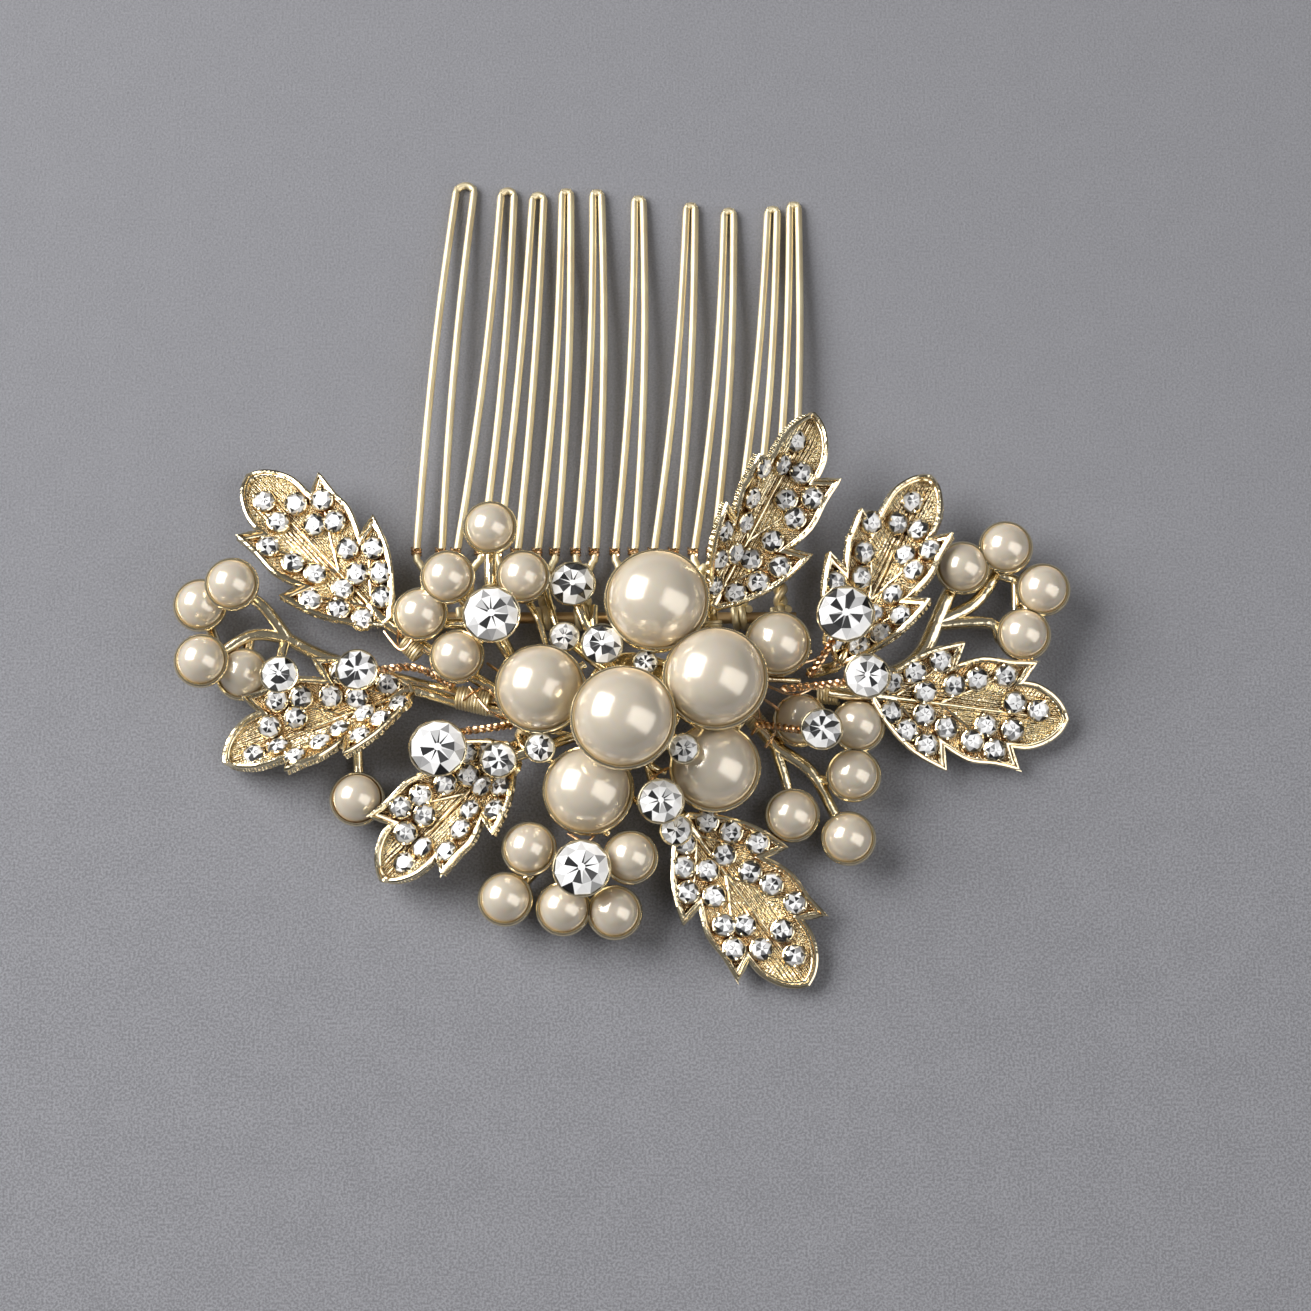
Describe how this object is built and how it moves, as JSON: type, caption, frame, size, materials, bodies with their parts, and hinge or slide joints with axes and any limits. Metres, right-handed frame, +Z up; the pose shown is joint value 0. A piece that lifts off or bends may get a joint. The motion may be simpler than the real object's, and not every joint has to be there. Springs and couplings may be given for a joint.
{
  "type": "decorative hair comb",
  "caption": "Wire hair comb with twisted hairpin teeth on a straight spine, carrying a wide wired spray of pearls, round bezel-set crystals and crystal-paved metal leaves.",
  "frame": {"origin": "middle of the object's footprint at its lowest point; the comb lies on its back", "axes": "+X along the spray and the spine rod, +Y towards the tips of the teeth, +Z up out of the face of the spray"},
  "size_m": [0.092, 0.0876, 0.0181],
  "materials": {
    "wire_gold": "bright plated",
    "cast_gold": "bright plated casting",
    "pearl": "pearlescent",
    "crystal": "faceted, foiled back"
  },
  "bodies": {
    "root": {"comb_spine": "wire_gold", "tooth_01": "wire_gold", "tooth_02": "wire_gold", "tooth_03": "wire_gold", "tooth_04": "wire_gold", "tooth_05": "wire_gold", "tooth_06": "wire_gold", "tooth_07": "wire_gold", "tooth_08": "wire_gold", "tooth_09": "wire_gold", "tooth_10": "wire_gold", "centre_casting": "cast_gold", "sprig_left": "cast_gold", "sprig_upper_left": "cast_gold", "sprig_right": "cast_gold", "sprig_lower_right": "cast_gold", "sprig_bottom": "cast_gold", "leaf_upper_left": "cast_gold", "leaf_lower_left": "cast_gold", "leaf_bottom_left": "cast_gold", "leaf_bottom_right": "cast_gold", "leaf_top_right": "cast_gold", "leaf_upper_right": "cast_gold", "leaf_right": "cast_gold", "crystal_lower_left": "crystal", "crystal_left": "crystal", "crystal_lower_right": "crystal", "crystal_right_upper": "crystal", "crystal_right": "crystal", "pearl_large_back": "pearl", "pearl_large_right": "pearl", "pearl_large_top": "pearl", "pearl_medium_left": "pearl", "pearl_medium_bottom": "pearl", "pearl_medium_right": "pearl", "pearl_six_right": "pearl", "pearl_leaf": "pearl", "pearl_left_1": "pearl", "pearl_left_2": "pearl", "pearl_left_3": "pearl", "pearl_left_4": "pearl", "pearl_upper_left_1": "pearl", "pearl_upper_left_2": "pearl", "pearl_upper_left_3": "pearl", "pearl_upper_left_4": "pearl", "pearl_upper_left_5": "pearl", "pearl_right_1": "pearl", "pearl_right_2": "pearl", "pearl_right_3": "pearl", "pearl_right_4": "pearl", "pearl_lower_right_1": "pearl", "pearl_lower_right_2": "pearl", "pearl_lower_right_3": "pearl", "pearl_lower_right_4": "pearl", "pearl_lower_right_5": "pearl", "pearl_bottom_1": "pearl", "pearl_bottom_2": "pearl", "pearl_bottom_3": "pearl", "pearl_bottom_4": "pearl", "pearl_bottom_5": "pearl"}
  },
  "joints": []
}
